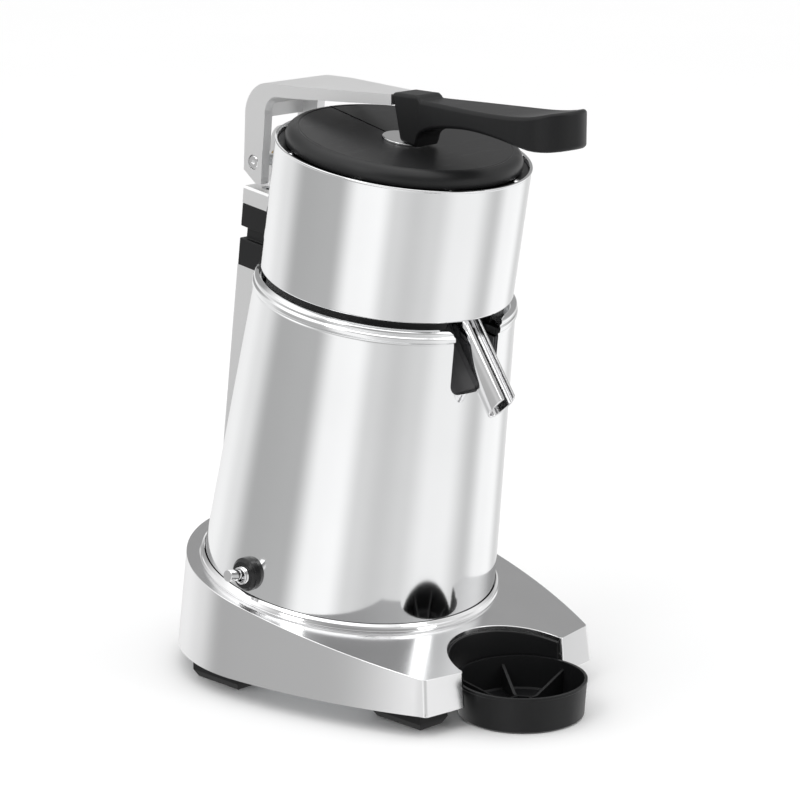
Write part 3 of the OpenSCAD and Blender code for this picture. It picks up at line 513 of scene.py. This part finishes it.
@dataclass
class Base:
    """The cast base with its prongs, feet and drip tray."""

    rear_r: float = 112.0
    rear_y: float = 1.0
    side_r: float = 420.0
    side_tilt: float = math.radians(2.5)
    prong: float = 150.0
    cut_r: float = 48.0
    cut_y: float = -160.5
    flare: float = 7.0
    tip_flare: float = 0.28
    back_flare: float = 0.45
    wall: float = 5.0
    deck_t: float = 6.0
    top_edge: float = 2.0
    lip: float = 3.6

    def outline(self, grow: float) -> list[tuple[float, float]]:
        """The plan of the casting, anticlockwise from the right prong.

        Args:
            grow: How far the outside is pushed out.

        Returns:
            The points of the outline.
        """
        cx = (self.side_r - self.rear_r) * math.cos(self.side_tilt)
        cy = self.rear_y + (self.side_r - self.rear_r) * math.sin(self.side_tilt)
        low = math.asin((-self.prong - cy) / self.side_r)
        right = []
        for k in range(41):
            a = low + (-self.side_tilt - low) * k / 40
            big = self.side_r + grow * (self.tip_flare + (1 - self.tip_flare) * k / 40)
            tip = grow * self.tip_flare if k == 0 else 0
            right.append((big * math.cos(a) - cx, big * math.sin(a) + cy - tip))
        back = []
        for k in range(1, 96):
            a = -self.side_tilt + (math.pi + 2 * self.side_tilt) * k / 96
            rear = self.rear_r + grow * (1 - (1 - self.back_flare) * max(0.0, math.sin(a)) ** 6)
            back.append((rear * math.cos(a), rear * math.sin(a) + self.rear_y))
        cut = []
        start = math.radians(6.9)
        for k in range(65):
            a = math.pi - start - (math.pi - 2 * start) * k / 64
            tip = grow * self.tip_flare if k in (0, 64) else 0
            cut.append((self.cut_r * math.cos(a), self.cut_r * math.sin(a) + self.cut_y - tip))
        left = [(-x, y) for x, y in reversed(right)]
        return right + back + left + cut

    def casting(self, shop: Shop) -> None:
        """Builds the flared casting with its sloping deck and hollow underside."""
        bm = bmesh.new()
        loops = []
        levels = [(FOOT_H, self.flare), (None, 0.0)]
        for level, grow in levels:
            verts = [bm.verts.new((x, y, deck_at(y) if level is None else level))
                     for x, y in self.outline(grow)]
            loops.append([bm.edges.new(p) for p in zip(verts, verts[1:] + verts[:1])])
        bmesh.ops.bridge_loops(bm, edges=loops[0] + loops[1])
        caps = [face for loop in loops for face in bmesh.ops.edgeloop_fill(bm, edges=loop)["faces"]]
        bmesh.ops.recalc_face_normals(bm, faces=bm.faces[:])
        bottom = min(caps, key=lambda f: f.calc_center_median().z)
        upright = sharp_edges(bm, 25, lambda e: abs(e.verts[0].co.z - e.verts[1].co.z) > 8)
        bmesh.ops.inset_region(bm, faces=[bottom], thickness=self.wall, use_even_offset=True)
        for v in bottom.verts:
            v.co.z = deck_at(v.co.y) - self.deck_t
            pull = 1 - self.flare / self.rear_r * min(1.0, max(0.0, 1 + v.co.y / self.prong))
            v.co.x *= pull
            v.co.y = min(v.co.y, v.co.y * pull)
        soften(bm, upright, 3.0, 4)
        rims = sharp_edges(bm, 40, lambda e: all(abs(v.co.z - deck_at(v.co.y)) < 0.05 for v in e.verts))
        soften(bm, rims, self.top_edge, 4)
        feet = sharp_edges(bm, 40, lambda e: all(abs(v.co.z - FOOT_H) < 0.05 for v in e.verts))
        soften(bm, feet, 0.7, 2)
        obj = shop.thing("base_casting", bm)
        shop.fit(obj, "stand", "cast_alloy", "cast_alloy", ["base_shell"], sharp=38)

    def bay_painted_shade(self, shop: Shop) -> None:
        """Builds a black strip under the deck's edge, round the tray, as painted shade for the dark under the
        deck's overhang.
        """
        turns = [math.radians(10 + 160 * k / 60) for k in range(61)]
        rows = []
        for r, order in ((self.cut_r - 0.1, turns), (self.cut_r - 1.3, reversed(turns))):
            rows += [(r * math.cos(a), r * math.sin(a) + self.cut_y) for a in order]
        bm = pushed(rows, FOOT_H + 0.5, FOOT_H + 2)
        for v in bm.verts:
            if v.co.z > FOOT_H + 1:
                v.co.z = deck_at(v.co.y) - self.lip
        # The black strip is painted shade, not a real lining: it darkens the bay wall under the deck.
        shop.fit(shop.thing("tray_bay_lining", bm), "stand", "black_plastic", edge=0.3)

    def build(self, shop: Shop) -> None:
        """Builds the base."""
        self.casting(shop)
        self.bay_painted_shade(shop)
        shop.from_node("rubber_feet", "feet", "stand", "black_rubber", edge=1.4)
        shop.from_node("tray_moulding", "drip_tray", "tray", "black_plastic", edge=0.45)
        shop.from_node("cord_gland", "cable_gland", "stand", "black_plastic", edge=0.4)


@dataclass
class Body:
    """The leaning body shell with its recess, beads and skirt."""

    foot_r: float = 101.4
    neck_r: float = 88.4
    neck_s: float = 197.6
    lip_s: float = 208.2
    wall: float = 2.6
    recess_half: float = 21.0
    recess_s: float = 163.4
    corner: float = 7.0

    def shell(self, shop: Shop) -> None:
        """Builds the spun shell and cuts the recess for the spout."""
        n, s1, top = self.neck_r, self.neck_s, self.lip_s
        outline = rounded([
            (self.foot_r, 0.0), (n, s1, 6.0), (n - 0.5, s1 + 1.3, 0.8), (n + 1.0, s1 + 2.6, 1.0),
            (n + 1.0, s1 + 5.2, 1.3), (n - 0.3, s1 + 6.4, 0.7), (n - 0.3, s1 + 7.2, 0.5),
            (n + 0.3, s1 + 7.8, 0.6),
            (n - 0.2, top - 1.2, 1.6), (n - 3.0, top, 1.6), (77.0, top, 0.5), (77.0, top - 2.2, 0.4),
            (n - 5, top - 2.4, 2),
            (n - self.wall, s1, 2), (self.foot_r - self.wall, 0.0),
        ], 6)
        obj = shop.thing("body_shell_skin", spun(outline, 256))
        h = self.recess_half
        c = self.corner
        tool = pushed(rounded([
            (-h, self.recess_s, c), (h, self.recess_s, c), (h, top - 0.8, c), (h + 18, top + 0.6),
            (h + 18, 230), (-h - 18, 230), (-h - 18, top + 0.6), (-h, top - 0.8, c)], 8), -120, -50)
        tool.transform(Matrix.Rotation(math.radians(90), 4, "X") @ Matrix.Scale(-1, 4, (0, 0, 1)))
        shop.cut(obj, shop.thing("tool", tool))
        obj.data.transform(self.mm_tilt())
        shop.fit(obj, "stand", "satin_steel", "", ["body_shell"], edge=0.0, sharp=30)

    @staticmethod
    def mm_tilt() -> Matrix:
        """The tilted frame in metres."""
        return Matrix.Scale(MM, 4) @ TILT @ Matrix.Scale(1 / MM, 4)

    def build(self, shop: Shop) -> None:
        """Builds the body."""
        self.shell(shop)
        ring = rounded([
            (101.7, 0), (104.6, 0.0, 0.3), (104.9, 1.6, 1.2), (103.9, 3.0, 0.6), (103.5, 4.0, 0.8),
            (101.9, 5.6, 0.5), (101.7, 5.6)], 4)
        bead = shop.thing("skirt_bead", spun(ring, 256), TILT)
        shop.fit(bead, "stand", "polished_steel", "", ["skirt_ring"])
        shop.from_node("spout_recess_liner", "recess_liner", "stand", "black_plastic", "liner_plastic",
                       edge=0.3)
        shop.from_node("bowl_gap_ring", "bowl_seat", "stand", "black_plastic", edge=0.3)


@dataclass
class JuiceBowl:
    """The juice bowl, its spout gutter, splash ring and strainer."""

    wall: float = 1.5
    spout_half: float = 8.8
    spout_depth: float = 25.0
    spout_len: float = 66.0
    spout_wall: float = 1.6
    mouth: float = math.radians(36)
    end_slope: float = 0.2

    def bowl(self, shop: Shop) -> None:
        """Builds the drum with its rolled rim."""
        r = BOWL_R
        outline = rounded([
            (11, BOWL_S), (r, BOWL_S, 1.8), (r, RIM_S - 1.6, 0.5), (r + 0.5, RIM_S - 1.2, 0.5),
            (r + 0.5, RIM_S, 0.55), (r - 1.6, RIM_S, 0.55), (r - 1.6, RIM_S - 9.3), (r - 3, RIM_S - 9.3),
            (r - 3, RIM_S - 10.3), (r - 1.5, RIM_S - 12), (r - 1.5, BOWL_S + 2.4, 3), (13, BOWL_S + 2.6, 0.5),
            (13, BOWL_S + 24, 0.5), (11, BOWL_S + 24, 0.5)], 5)
        obj = shop.thing("juice_bowl_drum", spun(outline, 256), TILT)
        shop.fit(obj, "stand", "satin_steel", "", ["bowl"], sharp=34)

    def spout(self, shop: Shop) -> None:
        """Builds the open gutter with rounded lips."""
        half, deep, t = self.spout_half, self.spout_depth / 2, self.spout_wall
        turns = [self.mouth + (math.tau - 2 * self.mouth) * k / 56 for k in range(57)]
        outer = [(half * math.sin(a), deep * (math.cos(a) - 1)) for a in turns]
        inner = [((half - t) * math.sin(a), (deep - t) * math.cos(a) - deep) for a in reversed(turns)]
        bm = pushed(outer + inner, -30, self.spout_len)
        soften(bm, sharp_edges(bm, 60), 0.6, 3, clamp=False)
        for v in bm.verts:
            if v.co.z > 0:
                v.co.z -= self.end_slope * (v.co.y + 2 * deep)
        obj = shop.thing("spout_gutter", bm)
        root = Matrix.Translation((0, -79.6, BOWL_S + 4.2))
        place = TILT @ root @ Matrix.Rotation(math.radians(135), 4, "X")
        obj.data.transform(Matrix.Scale(MM, 4) @ place @ Matrix.Scale(1 / MM, 4))
        block = bmesh.new()
        room = Matrix.Translation((0, -60, BOWL_S + 60.02)) @ Matrix.Diagonal((120, 260, 120, 1))
        bmesh.ops.create_cube(block, size=1.0, matrix=room)
        shop.cut(obj, shop.thing("tool", block, TILT))
        shop.fit(obj, "stand", "polished_steel", "", ["spout"])

    def build(self, shop: Shop) -> None:
        """Builds the bowl group."""
        self.bowl(shop)
        self.spout(shop)
        shop.from_node("splash_ring_moulding", "splash_ring", "stand", "black_plastic", edge=0.4)
        shop.from_node("rim_button_screws", "ring_screws", "stand", "polished_steel", edge=0.25)


@dataclass
class Lid:
    """The splash lid with its sight slit and centre washer."""

    r: float = 79.0

    def build(self, shop: Shop) -> None:
        """Builds the lid and washer."""
        r, top = self.r, LID_S
        outline = rounded([
            (8.1, top - 3), (r - 7.5, top - 3, 2), (r - 2.6, top - 6, 3), (r - 2.4, RIM_S - 1.3, 0.3),
            (r - 0.2, RIM_S - 1.3, 0.8), (r, top + 1.8, 7.5), (r - 7.6, top + 2.1, 0.8),
            (r - 8.4, top + 1.7, 0.5), (r - 9.4, top + 1.9, 0.6), (r - 18, top + 1.6, 20),
            (20.0, top + 0.1, 20), (8.1, top, 0.2)], 6)
        obj = shop.thing("splash_lid", spun(outline, 256))
        slit = bmesh.new()
        cut = Matrix.Translation((0, 56.5, top)) @ Matrix.Diagonal((1.7, 80, 30, 1))
        bmesh.ops.create_cube(slit, size=1.0, matrix=cut)
        shop.cut(obj, shop.thing("tool", slit))
        obj.data.transform(Body.mm_tilt())
        shop.fit(obj, "press_arm", "black_gloss", "lid_plastic", ["lid"], sharp=34)
        shop.from_node("press_spindle_washer", "press_spindle", "press_arm", "polished_steel", edge=0.4)


@dataclass
class Lever:
    """The forked arm and the moulded handle."""

    block_half: float = 11.5
    block_y: float = -52.5
    grip_r: float = 23.0
    grip_y: float = -181.0
    blank: float = 60.0
    fillet: float = 2.6
    slant: float = 0.24

    def handle(self, shop: Shop) -> None:
        """Builds the handle: its plan pushed up, rounded, sliced, and bent to its side lines."""
        t = ARM_TOP + 2.2
        top = [(-50, t), (-75.6, t)] + smooth_line([
            (-78.6, t - 3.0), (-100, t - 3.0), (-132, t - 3.2), (-160, t - 3.0), (-175, t - 2.2),
            (-187, t - 0.6), (-196, t + 1.4), (-206, t + 2.6)])
        under = smooth_line([(-50, t - 31), (-66, t - 33.6), (-71, t - 34.0)], 2) + smooth_line([
            (-74, t - 27.6), (-79, t - 24.2), (-88, t - 21.0), (-98, t - 19.0), (-111, t - 17.3),
            (-126, t - 16.4), (-140, t - 16.8), (-156, t - 18.4), (-170, t - 20.8), (-183, t - 22.8),
            (-195, t - 23.0), (-206, t - 21.4)])
        b, g, gy = self.block_half, self.grip_r, self.grip_y
        flank = smooth_line([
            (b, -77), (12.6, -88), (14.6, -100), (17.4, -115), (20.2, -134), (22.2, -155), (g, gy + 4)])
        arc = [(g * math.cos(a), gy + g * math.sin(a)) for a in [-math.pi * k / 60 for k in range(61)]]
        right = [(b, self.block_y)] + flank
        bm = pushed(right + arc + [(-x, y) for x, y in reversed(right)], 0.0, self.blank)
        soften(bm, sharp_edges(bm, 60), self.fillet, 5, clamp=False)
        slices = [-54 - 1.5 * k for k in range(18)] + [-84 - 4.0 * k for k in range(30)]
        for y in slices:
            everything = bm.verts[:] + bm.edges[:] + bm.faces[:]
            bmesh.ops.bisect_plane(bm, geom=everything, dist=1e-5, plane_co=(0, y, 0), plane_no=(0, 1, 0))
        for v in bm.verts:
            if v.co.z > self.blank / 2:
                v.co.z = height_at(top, v.co.y) - self.blank + v.co.z
            else:
                v.co.z = height_at(under, v.co.y) + v.co.z
            share = min(max((v.co.y + 80) / 27.5, 0.0), 1.0)
            v.co.y -= self.slant * (t - v.co.z) * share
        shop.fit(shop.thing("lever_handle", bm), "press_arm", "black_plastic", "", ["handle"], sharp=60)

    def build(self, shop: Shop) -> None:
        """Builds the lever."""
        self.handle(shop)
        shop.from_node("forked_arm", "arm", "press_arm", "cast_alloy", "arm_alloy", edge=1.6, segments=4)
        shop.from_node("pivot_button_screws", "pivot_screws", "press_arm", "polished_steel", edge=0.25)


@dataclass
class Column:
    """The rear column, its black sleeve and hinge block."""

    edge: float = 1.2

    def build(self, shop: Shop) -> None:
        """Builds the column."""
        shop.from_node("column_casting", "column_bar", "stand", "cast_alloy", "arm_alloy", edge=self.edge)
        shop.from_node("column_sleeve_moulding", "column_sleeve", "stand", "black_plastic", edge=0.8)
        shop.from_node("hinge_block_casting", "hinge_block", "stand", "cast_alloy", "arm_alloy",
                       edge=self.edge)


@dataclass
class Switch:
    """The toggle switch on the left side."""

    s: float = 19.0
    y: float = -2.7
    x: float = 100.04

    def place(self) -> Matrix:
        """The frame whose Z axis points out of the body."""
        return TILT @ Matrix.Translation((0, self.y, self.s)) @ Matrix.Rotation(math.radians(-90), 4, "Y")

    def build(self, shop: Shop) -> None:
        """Builds collar, bushing and bat."""
        x = self.x
        collar = rounded([
            (6.3, x - 3), (11.4, x - 3), (11.4, x + 3.8, 1.8), (9.2, x + 5.6, 1.2), (6.3, x + 5.6, 0.3)], 5)
        obj = shop.thing("switch_collar_moulding", spun(collar, 96), self.place())
        shop.fit(obj, "stand", "black_gloss", "", ["switch_collar"])
        rows = [(4.6, x - 4), (6.2, x - 4)]
        for k in range(5):
            rows += [(5.9, x + 3.8 + k * 0.6), (5.6, x + 4.1 + k * 0.6)]
        rows += [(5.9, x + 6.9, 0.1), (5.9, x + 7.8, 0.5), (4.6, x + 7.8, 0.4)]
        obj = shop.thing("switch_bushing_turned", spun(rounded(rows, 4), 96), self.place())
        shop.fit(obj, "stand", "polished_steel", "", ["switch_bushing"])
        bat = rounded([
            (0, -3.9), (2.6, -3.2, 1.0), (3.8, 0, 2), (2.7, 3.2, 1), (2.5, 4.8, 1), (3.5, 6.4, 1.2),
            (3.8, 9, 4), (4.1, 16.4, 0.5), (0, 16.4)], 5)
        swing = self.place() @ Matrix.Translation((0, 0, x + 3)) @ Matrix.Rotation(math.radians(10), 4, "Y")
        obj = shop.thing("switch_bat_turned", spun(bat, 64, False), swing)
        shop.fit(obj, "toggle", "polished_steel", "", ["toggle_bat"])


class Inside:
    """CAD nodes that keep their own shape and get a finish."""

    @staticmethod
    def dress(shop: Shop) -> None:
        """Gives each CAD node that still shows its slot's finish."""
        slots = {s["node"]: s["material_slot"] for s in frame["record"]["subparts"]}
        for name, node in frame["nodes"].items():
            if node.hide_render:
                continue
            node.data.materials.clear()
            node.data.materials.append(shop.finishes.get(slots[name]))
            LOG.info("node %s in %s", name, slots[name])


# ---------------------------------------------------------------- studio
@dataclass
class Studio:
    """Floor, lights and camera."""

    azimuth: float = -45.23
    elevation: float = 14.16
    eye: Point = (-1.3548, -1.3932, 0.6743)
    lens: float = 131.9
    glow: float = 1.6
    LOW_BANDS: ClassVar[Bands] = (
        (-180, 0.53), (-140, 0.63), (-118, 0.55), (-94, 0.30), (-58, 0.32), (-38, 0.68), (-20, 0.70),
        (-4, 0.49), (14, 0.43), (34, 0.48), (56, 0.63), (74, 0.64), (98, 0.42), (118, 0.67), (136, 0.69),
        (154, 0.47), (180, 0.53))
    HIGH_BANDS: ClassVar[Bands] = (
        (-180, 0.22), (-145, 0.24), (-112, 0.60), (-78, 0.90), (-45, 0.36), (0, 0.20), (45, 0.22), (78, 0.42),
        (112, 0.60), (145, 0.24), (180, 0.22))

    def camera(self) -> None:
        """Places the camera."""
        data = bpy.data.cameras.new("camera")
        data.lens, data.sensor_width = self.lens, 36.0
        cam = bpy.data.objects.new("camera", data)
        bpy.context.scene.collection.objects.link(cam)
        a, e = math.radians(self.azimuth), math.radians(self.elevation)
        back = Vector((math.sin(a) * math.cos(e), -math.cos(a) * math.cos(e), math.sin(e)))
        cam.location = self.eye
        cam.rotation_mode = "QUATERNION"
        cam.rotation_quaternion = (-back).to_track_quat("-Z", "Y")
        bpy.context.scene.camera = cam

    def floor(self) -> None:
        """Lays a plain pale floor."""
        bm = bmesh.new()
        bmesh.ops.create_circle(bm, cap_ends=True, radius=9.0, segments=96)
        mesh = bpy.data.meshes.new("floor")
        bm.to_mesh(mesh)
        bm.free()
        sheet = Sheet("pale_floor")
        tone = sheet.noise(sheet.place(), 2.0, 3.0)
        colour = sheet.blend(tone, (0.93, 0.93, 0.93), (0.95, 0.95, 0.95))
        mesh.materials.append(sheet.dress(Base_Color=colour, Roughness=0.9))
        obj = bpy.data.objects.new("floor", mesh)
        bpy.context.scene.collection.objects.link(obj)
        obj.visible_glossy = False

    def lamp(self, name: str, azimuth: float, elevation: float, reach: float, size: Point,
             power: float) -> None:
        """Hangs one soft box that faces the machine."""
        data = bpy.data.lights.new(name, "AREA")
        data.shape, data.size, data.size_y, data.energy = "RECTANGLE", size[0], size[1], power
        lamp = bpy.data.objects.new(name, data)
        a, e = math.radians(azimuth), math.radians(elevation)
        back = Vector((math.sin(a) * math.cos(e), -math.cos(a) * math.cos(e), math.sin(e)))
        lamp.location = Vector((0, 0, 0.22)) + back * reach
        lamp.rotation_mode = "QUATERNION"
        lamp.rotation_quaternion = (-back).to_track_quat("-Z", "Y")
        bpy.context.scene.collection.objects.link(lamp)

    def sky(self) -> None:
        """Surrounds the set with light boxes and grey stands, placed by their turn from the camera."""
        world = bpy.data.worlds.new("studio")
        bpy.context.scene.world = world
        world.use_nodes = True
        tree = world.node_tree
        node = {name: tree.nodes.new("ShaderNode" + kind) for name, kind in (
            ("way", "TexCoord"), ("facing", "Mapping"), ("split", "SeparateXYZ"), ("turn", "Math"),
            ("share", "MapRange"), ("low", "ValToRGB"), ("high", "ValToRGB"), ("rise", "MapRange"),
            ("roof", "MapRange"), ("walls", "Mix"), ("room", "Mix"), ("ray", "LightPath"), ("seen", "Mix"))}
        for name, stops in (("low", self.LOW_BANDS), ("high", self.HIGH_BANDS)):
            ramp = node[name].color_ramp
            ramp.interpolation = "EASE"
            while len(ramp.elements) < len(stops):
                ramp.elements.new(0.5)
            for element, (degrees, shade) in zip(ramp.elements, stops):
                element.position, element.color = 0.5 + degrees / 360, (shade, shade, shade, 1)
        node["facing"].inputs["Rotation"].default_value = (0, 0, math.radians(90 - self.azimuth))
        node["turn"].operation = "ARCTAN2"
        for name, low, high in (("share", -math.pi, math.pi), ("rise", 0.02, 0.22), ("roof", 0.62, 0.85)):
            node[name].inputs["From Min"].default_value = low
            node[name].inputs["From Max"].default_value = high
        for name in ("walls", "room", "seen"):
            node[name].data_type = "RGBA"
        node["room"].inputs[7].default_value = (1, 1, 1, 1)
        node["seen"].inputs[7].default_value = (0.8, 0.8, 0.8, 1)
        back = next(n for n in tree.nodes if n.type == "BACKGROUND")
        for source, output, target, socket in (
            ("way", "Generated", "facing", "Vector"), ("facing", 0, "split", 0), ("split", "Y", "turn", 0),
            ("split", "X", "turn", 1), ("turn", 0, "share", "Value"), ("share", 0, "low", 0),
            ("share", 0, "high", 0), ("split", "Z", "rise", "Value"), ("split", "Z", "roof", "Value"),
            ("rise", 0, "walls", 0), ("low", 0, "walls", 6), ("high", 0, "walls", 7), ("roof", 0, "room", 0),
            ("walls", 2, "room", 6), ("room", 2, "seen", 6), ("ray", "Is Camera Ray", "seen", 0),
        ):
            tree.links.new(node[source].outputs[output], node[target].inputs[socket])
        tree.links.new(node["seen"].outputs[2], back.inputs["Color"])
        back.inputs["Strength"].default_value = self.glow

    def build(self) -> None:
        """Sets the stage."""
        bpy.context.scene.view_settings.view_transform = "Standard"
        self.camera()
        self.floor()
        self.sky()
        self.lamp("key_box", -80, 38, 1.8, (0.5, 1.2), 4)
        self.lamp("fill_box", 20, 30, 2.2, (0.5, 1.4), 4)


def main() -> None:
    """Builds the studio and the machine."""
    logging.basicConfig(level=logging.INFO, format="%(name)s: %(message)s")
    Studio().build()
    shop = Shop(Finishes())
    for part in (Base(), Body(), JuiceBowl(), Lid(), Lever(), Column(), Switch()):
        part.build(shop)
    Inside.dress(shop)
    LOG.info("%d pieces made", shop.count)


if __name__ == "__main__":
    main()
